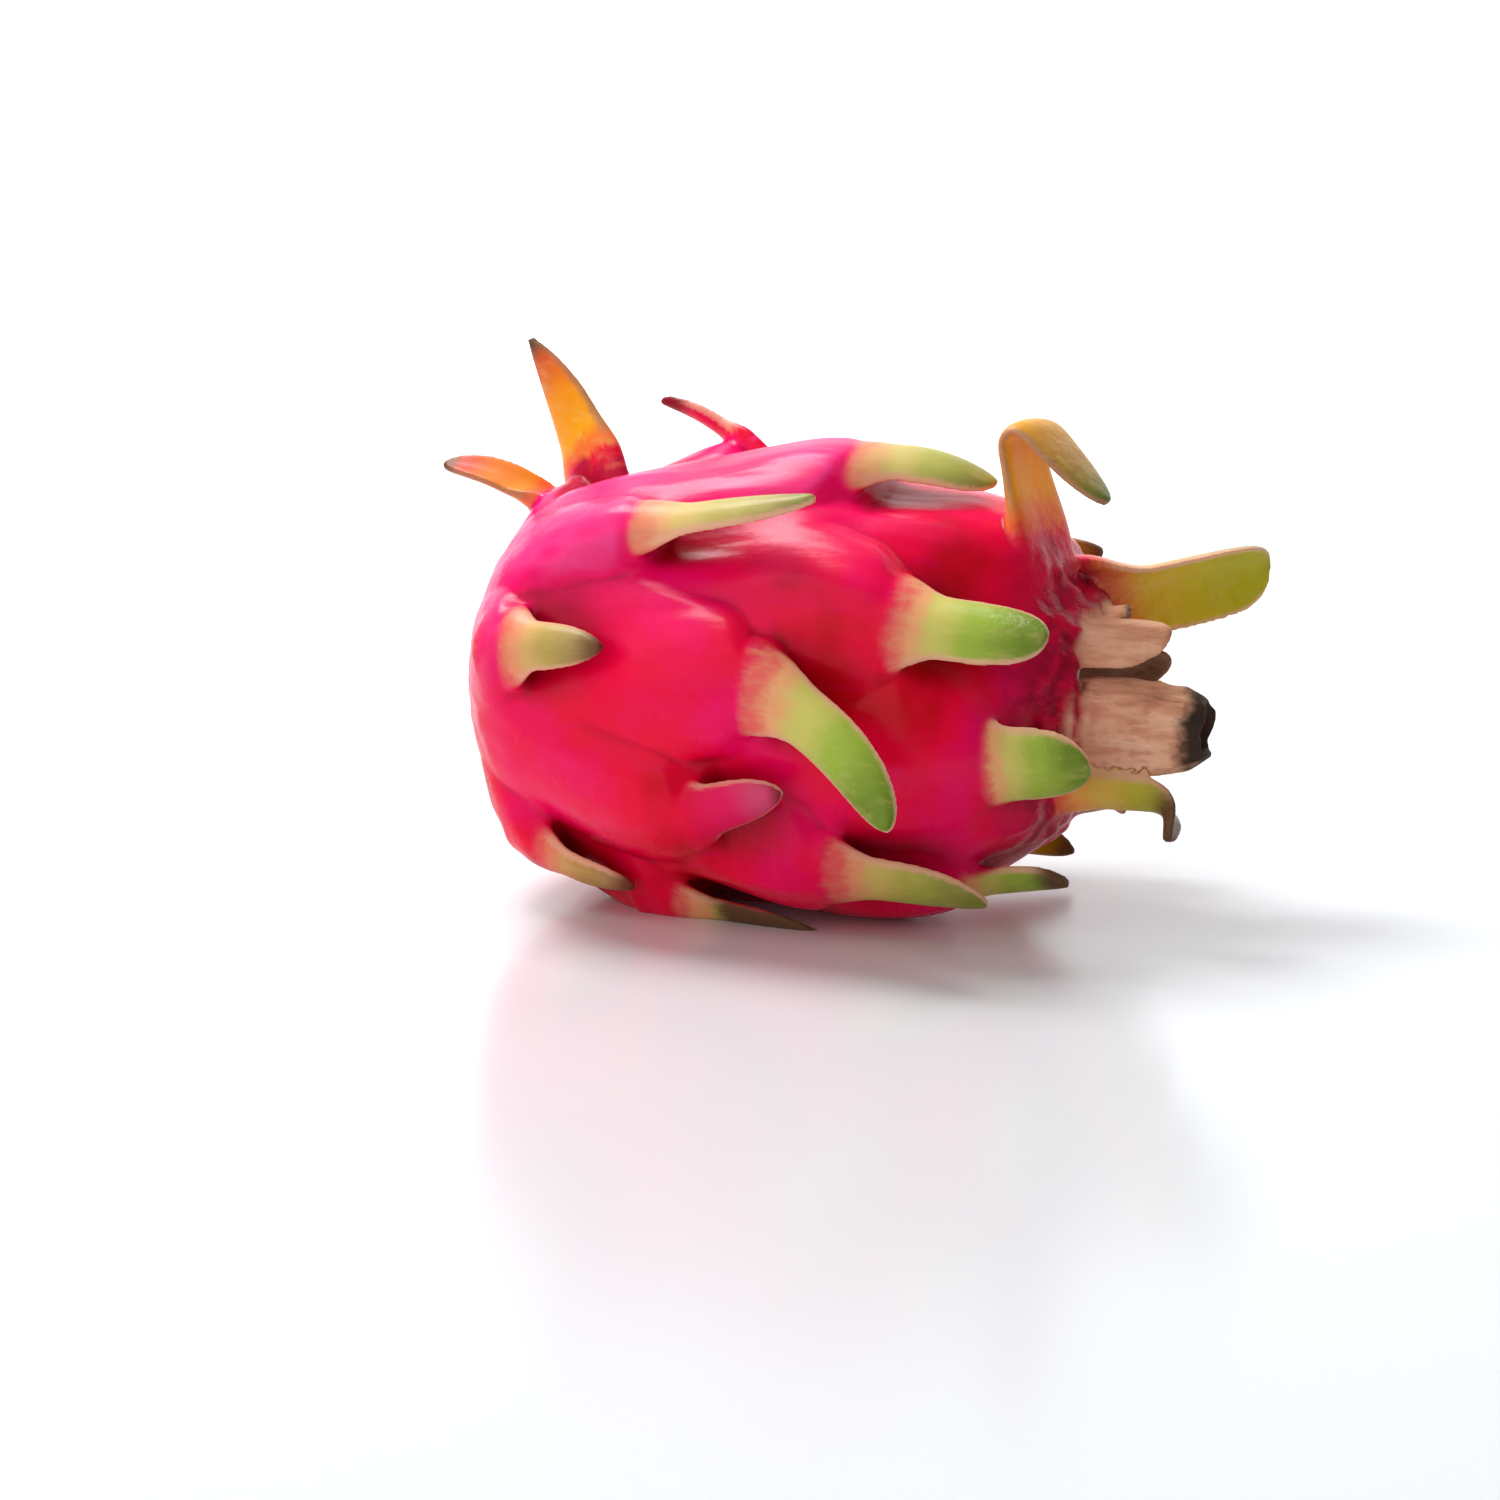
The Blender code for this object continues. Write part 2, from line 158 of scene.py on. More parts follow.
# Colours, as sRGB values from 0 to 255. A list is a ramp of (place, colour).
SKIN = [(0.34, (206, 0, 18)), (0.50, (244, 0, 58)), (0.68, (246, 2, 96))]
# Painted highlight: the skin pinker on the fruit's top.
SKIN_TOP_HIGHLIGHT = (250, 8, 128)
# Painted highlight: paler pink on crests on the fruit's top.
SKIN_CREST_HIGHLIGHT = (252, 110, 184)
SKIN_STREAK = (252, 10, 116)
# Painted shade: deep red in creases.
SKIN_CREASE_SHADE = (150, 0, 26)
# Painted shade: deep red in the hollows under the scales.
SKIN_HOLLOW_SHADE = (160, 0, 4)
RIM_DARK = (132, 4, 40)
RIM_LIGHT = (200, 8, 56)
GREEN_LEAF = [
    (0.02, (222, 20, 76)), (0.12, (236, 100, 96)), (0.22, (240, 168, 118)),
    (0.34, (206, 200, 104)), (0.55, (158, 184, 66)), (0.92, (112, 136, 40)),
]
YELLOW_LEAF = [
    (0.02, (234, 20, 60)), (0.12, (246, 120, 50)), (0.26, (254, 172, 8)),
    (0.52, (252, 158, 10)), (0.80, (228, 96, 40)), (0.97, (140, 104, 80)),
]
PINK_LEAF = [
    (0.02, (238, 0, 62)), (0.50, (232, 16, 92)), (0.82, (216, 70, 112)), (0.98, (150, 40, 56)),
]
LEAF_INSIDE = [
    (0.04, (176, 6, 30)), (0.16, (222, 116, 20)), (0.34, (222, 192, 0)), (0.85, (198, 188, 0)),
]
# Painted highlight: the scales paler on the fruit's upper side.
LEAF_TOP_HIGHLIGHT = (226, 226, 150)
LEAF_MOTTLE = (226, 206, 130)
LEAF_EDGE = (240, 178, 150)
LEAF_EDGE_WARM = (172, 122, 88)
LEAF_TIP = (104, 74, 48)
LEAF_TIP_ROSY = (140, 24, 44)
DRY = [
    (0.28, (150, 96, 74)), (0.44, (214, 150, 116)), (0.60, (236, 180, 146)), (0.78, (244, 208, 176)),
]
DRY_ROOT = (238, 150, 132)
DRY_BURNT = (58, 42, 34)
DRY_INSIDE = (84, 54, 38)
RECESS_DARK = (60, 34, 26)
RECESS_LIGHT = (150, 96, 66)
STUB_DARK = (84, 64, 40)
STUB_LIGHT = (158, 124, 84)

# Where the painted top highlight falls on skin and scales: its height over the axis, less a share of the
# way towards the crown.
TOP_HIGHLIGHT_FROM = 0.010
TOP_HIGHLIGHT_FULL = 0.046
TOP_HIGHLIGHT_SLANT = 0.4

# The skin's gloss and how light spreads in it.
SKIN_ROUGHNESS = 0.17
ROUGHNESS_CHANGE = 0.18
SCALE_ROUGHNESS = 0.10    # added on the scales
DRIED_ROUGHNESS = 0.38    # added on the dried parts
SPECULAR_LEVEL = 0.13
SUBSURFACE = 0.08
SUBSURFACE_RADIUS = (1.0, 0.2, 0.3)
SUBSURFACE_SCALE = 0.003
BUMP_STRENGTH = 0.5
BUMP_DISTANCE = 0.0005

# The studio: a white sweep under and behind the fruit, lights placed from its middle, and a pale sky.
SWEEP_WIDTH = 7.0
SWEEP_FRONT = -3.5
SWEEP_BACK = 1.3
SWEEP_ROUNDING = 1.0
SWEEP_HEIGHT = 3.0
SWEEP_COLOR = (0.79, 0.81, 0.84, 1)
SWEEP_ROUGHNESS = 0.20
WALL_GLOW = 0.9
GLOW_FROM = 0.1           # how far behind the fruit the sweep begins to glow
GLOW_FULL = 1.4
MAIN_LIGHT = (-0.42, 0.20, 0.80)
MAIN_LIGHT_SIZE = 0.40
MAIN_LIGHT_POWER = 8.5
FILL_LIGHT = (-0.60, -1.10, 0.60)
FILL_LIGHT_SIZE = 2.00
FILL_LIGHT_POWER = 13.0
SKY_COLOR = (0.98, 0.99, 1, 1)
SKY_LIGHT = 0.26

# The camera: yaw and elevation in degrees, and where the fruit's middle falls in the square frame.
VIEW_YAW = 20
VIEW_ELEVATION = 11
LENS_MM = 85
SENSOR_MM = 36
FRAME_WIDTH = 0.2790      # metres that the frame spans at the fruit
MIDDLE_RIGHT = 0.0137     # how far the fruit's middle lies right of the frame's centre
MIDDLE_UP = 0.0225        # and how far above it

BODY_RADIUS = BODY_DIAMETER / 2
RIM_RADIUS = RIM_DIAMETER / 2
AXIS_HEIGHT = BODY_RADIUS - REST_DEPTH
CROWN_SEMI_AXIS = CROWN_REACH / np.sqrt(1 - (RIM_RADIUS / BODY_RADIUS) ** 2)


class Scale(NamedTuple):
    """One scale, with lengths in metres and angles in degrees, as the CAD solid has it.

    `place` says where it grows: -1 is the stem end, 0 the widest place and 1 the crown's rim.
    `turn` is its sideways angle at the root and `sweep` how much more it turns by its tip, both
    towards larger `around`. `lift` is its angle from the skin at the root, and `curl` how much more
    it bends away from the skin between the two shares of its length in `bend`. `twist` turns its
    outer face towards larger `around`. `blunt` is 1 for a plain taper, and more for a rounded tip.
    `camber` is the depth of its hollow inner side and `waist` how much it narrows in front of its
    flared root, both as shares of its width. Then come its colours, as shares: `warm` turns its
    green to yellow and orange, `rosy` to pink, and `burnt` dries its tip to brown.
    """
    place: float
    around: float
    length: float
    width: float
    lift: float
    curl: float = 0
    turn: float = 0
    sweep: float = 0
    twist: float = 0
    blunt: float = 2.6
    bend: tuple = (0, 1)
    camber: float = 0.20
    waist: float = 0.40
    warm: float = 0.12
    rosy: float = 0.0
    burnt: float = 0.3

    @property
    def along(self):
        """Distance of its root from the widest place, in metres."""
        return self.place * (STEM_REACH if self.place < 0 else CROWN_REACH)


SCALES = {
    # Front and top, as they lie from the stem end to the crown.
    "stem_top": Scale(-0.87, -4, 0.024, 0.010, 100, 26, twist=-34, blunt=3.4, waist=0.2,
                      warm=2.0, burnt=0.25, rosy=0.3),
    "stem_flag": Scale(-0.76, -12, 0.030, 0.020, 80, 14, turn=-54, blunt=1.5, camber=0.06, waist=0.15,
                       warm=3.0, burnt=0.3),
    "shoulder_top": Scale(-0.27, -24, 0.022, 0.012, 138, 22, blunt=2.2, rosy=1.0, burnt=0.45),
    "upper_front": Scale(-0.35, 42, 0.038, 0.0125, 12, -8, twist=-26, blunt=3.0, waist=0.15,
                         rosy=0.2, burnt=0),
    "top_long": Scale(0.24, 8, 0.028, 0.021, 16, -32, twist=10, blunt=3.8, rosy=0.1, burnt=0.05),
    "middle_front": Scale(0.09, 80, 0.042, 0.018, 14, 4, turn=14, sweep=44, blunt=4.0, burnt=0.05),
    "right_front": Scale(0.52, 61, 0.031, 0.020, 20, 4, turn=6, blunt=5.0, burnt=0.1),
    "low_left_front": Scale(-0.12, 114, 0.022, 0.017, 2, -4, turn=-22, twist=-8, rosy=1.0, burnt=0),
    "low_right_front": Scale(0.81, 104, 0.021, 0.021, 22, 8, turn=-2, blunt=3.4, waist=0.3, burnt=0),
    "under_front": Scale(0.29, 132, 0.031, 0.020, 8, 4, turn=6, blunt=2.8, rosy=0.15, burnt=0.1),
    "under_left": Scale(-0.27, 154, 0.030, 0.020, 2, 2, turn=-6, burnt=1.0),
    "under_right": Scale(0.66, 152, 0.022, 0.018, 14, 6, blunt=4.0, burnt=0.4),
    # Around the crown's rim.
    "crown_hook": Scale(0.88, 10, 0.044, 0.019, 146, -148, turn=18, blunt=4.5,
                        bend=(0.38, 0.64), camber=0.06, waist=0.15, warm=0.9, burnt=0.15),
    "crown_strap": Scale(0.95, -49, 0.034, 0.036, 65, 4, twist=8, blunt=8.0, warm=0.3, burnt=0.1),
    "crown_low": Scale(0.98, 135, 0.029, 0.018, 50, 84, blunt=4.0, bend=(0.6, 0.92),
                       warm=0.5, burnt=0.45),
    "crown_back": Scale(0.77, 262, 0.024, 0.018, 44, 10),
    "crown_under": Scale(0.82, 222, 0.022, 0.017, 12, 14, burnt=0.6),
    # Back and underside, in the same spiral.
    "stem_front": Scale(-0.74, 74, 0.024, 0.016, 4, -30, rosy=0.3),
    "stem_low": Scale(-0.70, 138, 0.022, 0.015, 4, -26, rosy=0.4),
    "stem_back": Scale(-0.75, 214, 0.023, 0.016, 6, -20),
    "stem_back_high": Scale(-0.75, 288, 0.024, 0.016, 24, 10, warm=1.0),
    "back_high_left": Scale(-0.33, 300, 0.030, 0.018, 20, 24, warm=0.5),
    "back_left": Scale(-0.30, 254, 0.032, 0.019, 18, 12, turn=-6),
    "back_low_left": Scale(-0.27, 206, 0.030, 0.018, 6, 4, turn=8, burnt=0.6),
    "back_middle": Scale(0.18, 280, 0.036, 0.019, 20, 18, sweep=-16, blunt=3.4),
    "back_low": Scale(0.21, 230, 0.035, 0.019, 10, 8, turn=-10),
    "back_high_right": Scale(0.36, 302, 0.030, 0.019, 12, 0, blunt=3.6),
    "back_right": Scale(0.54, 252, 0.030, 0.019, 20, 10, blunt=3.6),
}


class Flap(NamedTuple):
    """One dried stub of the flower, standing in the crown's recess. `burnt` darkens its end."""
    radius: float
    around: float
    length: float
    width: float
    lift: float
    curl: float
    burnt: float = 0.8


FLAPS = {
    "flap_front": Flap(0.0170, 31, 0.027, 0.023, -4, 10, burnt=0.4),
    "flap_top": Flap(0.0130, 350, 0.017, 0.014, 10, 10),
    "flap_back": Flap(0.0125, 288, 0.022, 0.013, 8, 20),
    "flap_low": Flap(0.0125, 232, 0.018, 0.012, 12, 10),
    "flap_under": Flap(0.0125, 172, 0.019, 0.012, 14, 16),
}


def smooth_step(value):
    """0 below 0, 1 above 1, and a smooth rise between them."""
    value = np.clip(value, 0, 1)
    return value * value * (3 - 2 * value)


def change(value, ends):
    """0 at the first of two ends, 1 at the second, and a smooth change between them."""
    none, full = ends
    return smooth_step((value - none) / (full - none))


def body_radius(along):
    """Radius of the turned body at places along its axis."""
    stem = np.clip(-along / STEM_REACH, 0, 1)
    crown = np.clip(along / CROWN_SEMI_AXIS, 0, 1)
    stem_radius = (1 - stem ** STEM_FULLNESS) ** (1 / STEM_FULLNESS)
    return BODY_RADIUS * np.where(along < 0, stem_radius, np.sqrt(1 - crown ** 2))


def radial(around):
    """Unit vectors from the axis outwards, at angles in degrees."""
    angle = np.radians(around)
    return np.stack([np.zeros_like(angle), -np.sin(angle), np.cos(angle)], -1)


def sideways(around):
    """Unit vectors along the skin, towards larger `around`."""
    angle = np.radians(around)
    return np.stack([np.zeros_like(angle), -np.cos(angle), -np.sin(angle)], -1)


def from_scale(scale, along, around):
    """Distances of places on the skin from a scale's root: ahead of it, and to its side."""
    angle = np.radians((around - scale.around + 180) % 360 - 180)
    return along - scale.along, np.abs(angle) * body_radius(np.array(scale.along))


def swell_at(scale, along, around):
    """Height of one scale's swell at places on the skin."""
    ahead, aside = from_scale(scale, along, around)
    behind = np.clip(-ahead / SWELL_RUN, 0, 1)
    half_width = SWELL_SPREAD * scale.width * (1 + SWELL_WIDENING * behind)
    reach = np.clip(aside / half_width, 0, 1)
    across = (1 - reach ** 2) ** SWELL_ROUNDING
    bowed = ahead + SWELL_BOW * half_width * reach ** 2
    step = 1 - smooth_step(bowed / SWELL_STEP)
    lengthwise = np.where(bowed > 0, step, smooth_step(1 + ahead / SWELL_RUN))
    return SWELL_HEIGHT * across * lengthwise


def swell(along, around):
    """Height of the skin over the turned body, where neighbouring swells run into each other."""
    total = np.zeros(np.broadcast(along, around).shape)
    for scale in SCALES.values():
        total += (swell_at(scale, along, around) / SWELL_HEIGHT) ** SWELL_JOIN
    ends = smooth_step((along + STEM_REACH) / STEM_FADE)
    ends = ends * smooth_step((CROWN_REACH - along) / CROWN_FADE)
    return ends * SWELL_HEIGHT * total ** (1 / SWELL_JOIN)


def hollow(along, around):
    """Depth of the hollows in the skin, one under each scale's blade."""
    deepest = np.zeros(np.broadcast(along, around).shape)
    for scale in SCALES.values():
        ahead, aside = from_scale(scale, along, around)
        reach = np.clip(aside / (HOLLOW_SPREAD * scale.width), 0, 1)
        lengthwise = smooth_step(ahead / SWELL_STEP) * smooth_step(1 - (ahead - SWELL_STEP) / HOLLOW_RUN)
        deepest = np.maximum(deepest, (1 - reach ** 2) ** 2 * lengthwise)
    return HOLLOW_DEPTH * deepest * smooth_step((CROWN_REACH - along) / CROWN_FADE)


def on_axis(along):
    """Points of the fruit's axis."""
    along = np.asarray(along, float)
    return np.stack([along, np.zeros_like(along), np.full_like(along, AXIS_HEIGHT)], -1)


def skin_frame(along, around):
    """Forward, sideways and outward unit vectors of the turned body at a place on its skin."""
    step = 0.0005
    slope = (body_radius(np.array(along + step)) - body_radius(np.array(along - step))) / (2 * step)
    forward = np.array([1.0, 0, 0]) + radial(around) * slope
    forward /= np.linalg.norm(forward)
    aside = sideways(around)
    return forward, aside, np.cross(aside, forward)


def body_profile():
    """Places along the axis and radii of the body's rings, and which of them carry swells."""
    stub = STUB_DIAMETER / 2
    dip = DIP_DIAMETER / 2
    dip_along = -STEM_REACH * (1 - (dip / BODY_RADIUS) ** STEM_FULLNESS) ** (1 / STEM_FULLNESS)
    corners = [
        (dip_along - 0.92 * STUB_LENGTH, 0.02 * stub),
        (dip_along - STUB_LENGTH, 0.80 * stub),
        (dip_along - 0.8 * STUB_LENGTH, stub),
        (dip_along + DIP_DEPTH, 1.05 * stub),
        (dip_along, dip),
    ]
    rings = fill(corners, 6)
    shares = (1 - np.cos(pi * np.arange(1, BODY_STEPS) / BODY_STEPS)) / 2
    for along in dip_along + (CROWN_REACH - dip_along) * shares:
        rings.append((along, float(body_radius(np.array(along)))))
    for angle in np.radians(np.arange(0, 140, 10)):
        radius = RIM_RADIUS - RIM_ROUNDING * (1 - cos(angle))
        rings.append((CROWN_REACH + RIM_ROUNDING * sin(angle), radius))
    floor = CROWN_REACH - RECESS_DEPTH
    inside = [
        rings[-1],
        (floor, RECESS_DIAMETER / 2),
        (floor, RECESS_DIAMETER / 4),
        (floor + 0.001, 0.0002),
    ]
    return rings + fill(inside, 8)[1:]


def fill(corners, count):
    """Points on the straight lines between corners, `count` to a line."""
    points = [corners[0]]
    for start, end in zip(corners, corners[1:]):
        for step in range(1, count + 1):
            share = step / count
            points.append(tuple(a + (b - a) * share for a, b in zip(start, end)))
    return points


def tube_faces(rings, sides):
    """Faces of a closed tube of rings of points, with its two ends filled."""
    faces = []
    for ring in range(rings - 1):
        for side in range(sides):
            after = (side + 1) % sides
            faces.append((ring * sides + side, ring * sides + after,
                          (ring + 1) * sides + after, (ring + 1) * sides + side))
    faces.append(tuple(range(sides)))
    faces.append(tuple(range((rings - 1) * sides, rings * sides)))
    return faces


def body_points():
    """Rings of points of the body, from the stub to the recess's floor."""
    profile = np.array(body_profile())
    around = np.arange(BODY_SIDES) * 360 / BODY_SIDES
    along, radius = profile[:, :1], profile[:, 1:]
    carries = (radius >= RIM_RADIUS) & (along <= CROWN_REACH)
    height = np.where(carries, swell(along, around[None, :]) - hollow(along, around[None, :]), 0)
    points = on_axis(along[:, 0])[:, None, :] + radial(around)[None] * (radius + height)[..., None]
    near_rim = smooth_step((points[..., 0] - CROWN_REACH + FOLDS_REACH) / FOLDS_REACH)
    points = points + crumpled(points, FOLDS_DEPTH, FOLDS_SIZE) * near_rim[..., None]
    return points + crumpled(points, VEIN_DEPTH, VEIN_SIZE, VEIN_STRETCH)


def crumpled(points, depth, size, stretch=(1, 1, 1)):
    """Moves for points that wrinkle a dried surface, with folds of about a size."""
    scaled = (points / size * np.array(stretch)).reshape(-1, 3)
    moves = [noise.noise_vector(point) + noise.noise_vector(point * 2.3) * 0.5 for point in scaled]
    return depth * np.array(moves).reshape(points.shape)


def wrinkled(points):
    """Points of a dried part, moved into its wrinkles."""
    return points + crumpled(points, WRINKLE_DEPTH, WRINKLE_SIZE, WRINKLE_STRETCH)


def half_width_at(share, scale):
    """Half a blade's width at shares of its length: a flared root, a strap and a rounded tip."""
    taper = np.clip(1 - share ** (TAPER_POWER * scale.blunt), 0, 1) ** (0.5 + 0.5 * scale.blunt ** -1.5)
    waist = 1 - scale.waist * smooth_step(share / WAIST_AT)
    return scale.width / 2 * np.maximum(taper * waist, TIP_WIDTH)


def thickness_at(share):
    """A blade's thickness at shares of its length."""
    body = ROOT_THICKNESS + (BLADE_THICKNESS - ROOT_THICKNESS) * smooth_step(share / THIN_FROM)
    return body + (TIP_THICKNESS - BLADE_THICKNESS) * share ** 2


def turned(vectors, axis, angle):
    """Vectors turned about unit axes by angles in radians."""
    angle = angle[:, None]
    return vectors * np.cos(angle) + np.cross(axis, vectors) * np.sin(angle)


class Blade(NamedTuple):
    """A blade's rings of points, and for each point its share of the length, place across, and side."""
    points: np.ndarray
    share: np.ndarray
    across: np.ndarray
    inner: np.ndarray


def make_blade(root, axes, scale):
    """A leaf-like closed shape that starts inside the body at `root` and bends as its scale says."""
    forward, aside, outward = axes
    share = 1 - (1 - np.linspace(0, 1, BLADE_STATIONS)) ** CROWDING
    heading = np.radians(scale.turn + scale.sweep * share)
    bent = smooth_step((share - scale.bend[0]) / (scale.bend[1] - scale.bend[0]))
    rise = np.radians(scale.lift + scale.curl * bent)
    level = forward * np.cos(heading)[:, None] + aside * np.sin(heading)[:, None]
    direction = level * np.cos(rise)[:, None] + outward * np.sin(rise)[:, None]
    across_axis = aside * np.cos(heading)[:, None] - forward * np.sin(heading)[:, None]
    face = outward * np.cos(rise)[:, None] - level * np.sin(rise)[:, None]
    roll = np.radians(scale.twist) * smooth_step(share / TWISTED_FROM)
    across_axis = turned(across_axis, direction, roll)
    face = turned(face, direction, roll)
    steps = np.diff(share, prepend=0)[:, None] * scale.length * direction
    centres = root + np.cumsum(steps, axis=0)
    # Two more stations carry the blade back into the body.
    back = np.array([[-ROOT_DEPTH], [-ROOT_DEPTH / 2]]) * direction[:1]
    centres = np.vstack([root + back, centres])
    share = np.concatenate([[0, 0], share])
    direction, across_axis, face = (np.vstack([v[:1], v[:1], v]) for v in (direction, across_axis, face))
    line = np.sin(np.linspace(-pi / 2, pi / 2, BLADE_POINTS))
    across = np.concatenate([line, line[-2:0:-1]])
    side = np.concatenate([np.ones(BLADE_POINTS), -np.ones(BLADE_POINTS - 2)])
    side[[0, BLADE_POINTS - 1]] = 0
    half_width = half_width_at(share, scale)[:, None]
    sag = 2 * scale.camber * half_width * across ** 2
    lift = side * thickness_at(share)[:, None] / 2 * np.sqrt(1 - np.abs(across) ** 4)
    points = (centres[:, None] + across_axis[:, None] * (half_width * across)[..., None]
              + face[:, None] * (lift - sag)[..., None])
    shape = points.shape[:2]
    return Blade(points, np.broadcast_to(share[:, None], shape), np.broadcast_to(across, shape),
                 np.broadcast_to((side < 0).astype(float), shape))


def scale_blade(scale):
    """The blade of one scale of the skin, rooted just under the top of its swell."""
    axes = skin_frame(scale.along, scale.around)
    here = np.array(scale.along)
    height = body_radius(here) + swell(here, np.array(float(scale.around)))
    root = on_axis(scale.along) + radial(scale.around) * height - axes[2] * ROOT_THICKNESS / 2
    return make_blade(root, axes, scale)


def flap_blade(flap):
    """The blade of one dried stub in the crown's recess."""
    root = on_axis(CROWN_REACH - RECESS_DEPTH) + radial(flap.around) * flap.radius
    axes = (np.array([1.0, 0, 0]), sideways(flap.around), radial(flap.around))
    shape = Scale(0, flap.around, flap.length, flap.width, flap.lift, flap.curl, blunt=FLAP_BLUNTNESS)
    blade = make_blade(root, axes, shape)
    return blade._replace(points=wrinkled(blade.points))


def tube_blade():
    """The dried flower tube: rings of points down its outside and then into its mouth."""
    base = on_axis(CROWN_REACH - RECESS_DEPTH) + radial(TUBE_AROUND) * TUBE_OFFSET
    radius = TUBE_DIAMETER / 2
    outside = [
        (-TUBE_SUNK, radius),
        (0.4 * TUBE_LENGTH, TUBE_BELLY * radius),
        (0.75 * TUBE_LENGTH, TUBE_SHOULDER * radius),
        (0.9 * TUBE_LENGTH, (TUBE_SHOULDER + TUBE_MOUTH) / 2 * radius + TUBE_EDGE / 2),
        (TUBE_LENGTH, TUBE_MOUTH * radius),
    ]
    inside = [
        (TUBE_LENGTH, TUBE_MOUTH * radius - TUBE_WALL / 2),
        (TUBE_LENGTH - TUBE_MOUTH_DEPTH / 2, TUBE_MOUTH * radius - TUBE_WALL),
        (TUBE_LENGTH - TUBE_MOUTH_DEPTH, 0.5 * (TUBE_MOUTH * radius - TUBE_WALL)),
    ]
    profile = np.array(fill(outside + inside, TUBE_STEPS))
    angle = np.arange(TUBE_SIDES) * 2 * pi / TUBE_SIDES
    ribs = sum((height * np.sin(count * angle + start) for count, height, start in TUBE_RIBS), 1)
    shape = (len(profile), TUBE_SIDES)
    reach = np.broadcast_to(profile[:, :1], shape)
    share = np.clip(reach / TUBE_LENGTH, 0, 1)
    ragged = TUBE_RAGGED * np.sin(TUBE_RAGS * angle + 0.5) * smooth_step(share * 3 - 2)
    size = profile[:, 1:] * ribs
    rise = TUBE_RISE * share ** 2
    around = [size * TUBE_FLATTENING * np.cos(angle), size * np.sin(angle) + rise]
    points = wrinkled(base + np.stack([reach + ragged] + around, -1))
    in_mouth = (np.arange(len(profile)) > TUBE_STEPS * len(outside)).astype(float)
    return Blade(points, share, np.zeros(shape), np.broadcast_to(in_mouth[:, None], shape))


def joined_mesh(parts):
    """One mesh of several closed shapes, each given as rings of points."""
    vertices, faces, start = [], [], 0
    for rings in parts:
        count, sides = rings.shape[:2]
        vertices.append(rings.reshape(-1, 3))
        faces += [tuple(start + corner for corner in face) for face in tube_faces(count, sides)]
        start += count * sides
    mesh = bpy.data.meshes.new(NODE)
    mesh.from_pydata(np.vstack(vertices).tolist(), [], faces)
    return mesh


def applied(obj):
    """Replaces an object's mesh by its evaluated mesh and clears its modifiers."""
    depsgraph = bpy.context.evaluated_depsgraph_get()
    mesh = bpy.data.meshes.new_from_object(obj.evaluated_get(depsgraph))
    obj.modifiers.clear()
    obj.data = mesh
    return mesh


def coordinates(mesh):
    """A mesh's points as an array."""
    points = np.empty(len(mesh.vertices) * 3)
    mesh.vertices.foreach_get("co", points)
    return points.reshape(-1, 3)


def relax(points, edges, weight, rounds):
    """Moves each point towards the middle of its neighbours, by its weight, several times."""
    ends = np.concatenate([edges[:, 0], edges[:, 1]])
    others = np.concatenate([edges[:, 1], edges[:, 0]])
    counts = np.bincount(ends, minlength=len(points))
    for _ in range(rounds):
        middle = np.stack([np.bincount(ends, points[others, k], len(points)) for k in range(3)], 1)
        points = points + weight[:, None] * (middle / counts[:, None] - points)
    return points


def height_over_skin(points):
    """Distance of points outwards from the swollen skin, measured from the axis."""
    offset = points - on_axis(points[:, 0])
    around = np.degrees(np.arctan2(-offset[:, 1], offset[:, 2]))
    along = np.clip(points[:, 0], -STEM_REACH, CROWN_REACH)
    return np.linalg.norm(offset, axis=1) - body_radius(along) - swell(along, around)


def nearest(tree, points):
    """Index of, and distance to, the tree's nearest entry for each point."""
    found = [tree.find(point) for point in points]
    return np.array([f[1] for f in found]), np.array([f[2] for f in found])


def tree_of(points):
    """A search tree of points."""
    tree = KDTree(len(points))
    for index, point in enumerate(points):
        tree.insert(point, index)
    tree.balance()
    return tree


def edges_of(mesh):
    """A mesh's edges as pairs of point numbers."""
    pairs = np.empty(len(mesh.edges) * 2, dtype=np.int64)
    mesh.edges.foreach_get("vertices", pairs)
    return pairs.reshape(-1, 2)


def build_fruit():
    """The whole fruit as one mesh object, with its attributes."""
    blades = [scale_blade(scale) for scale in SCALES.values()]
    labels = [labels_of(blade, scale.burnt, scale.warm, scale.rosy)
              for blade, scale in zip(blades, SCALES.values())]
    flaps = [flap_blade(flap) for flap in FLAPS.values()]
    labels += [labels_of(blade, flap.burnt, dried=1) for blade, flap in zip(flaps, FLAPS.values())]
    tube = tube_blade()
    labels.append(labels_of(tube, TUBE_BURNT, dried=1))
    outgrowths = [blade.points for blade in blades + flaps + [tube]]
    fruit = bpy.data.objects.new("fruit", joined_mesh([body_points()] + outgrowths))
    bpy.context.scene.collection.objects.link(fruit)
    remesh = fruit.modifiers.new("join", "REMESH")
    remesh.mode = "VOXEL"
    remesh.voxel_size = VOXEL
    mesh = applied(fruit)

    tree = tree_of(np.vstack([points.reshape(-1, 3) for points in outgrowths]))
    points = coordinates(mesh)
    _, gap = nearest(tree, points)
    meeting = np.exp(-(height_over_skin(points) / FILLET) ** 2) * np.exp(-(gap / FILLET) ** 2)
    points = relax(points, edges_of(mesh), EVEN_OUT + MELT * meeting, RELAX_ROUNDS)
    points[:, 2] = np.maximum(points[:, 2], 0)
    mesh.vertices.foreach_set("co", points.ravel())
    mesh.update()

    thin = fruit.modifiers.new("thin", "DECIMATE")
    thin.ratio = min(1, MOST_TRIANGLES / (2 * len(mesh.polygons)))
    mesh = applied(fruit)
    add_attributes(mesh, np.vstack(labels), tree)
    mesh.transform(Matrix.Scale((CAD_HIGH.x - CAD_LOW.x) / np.ptp(coordinates(mesh)[:, 0]), 4))
    mesh.shade_smooth()
    return fruit


LABELS = ("grown", "across", "inner", "warm", "rosy", "burnt", "dried")


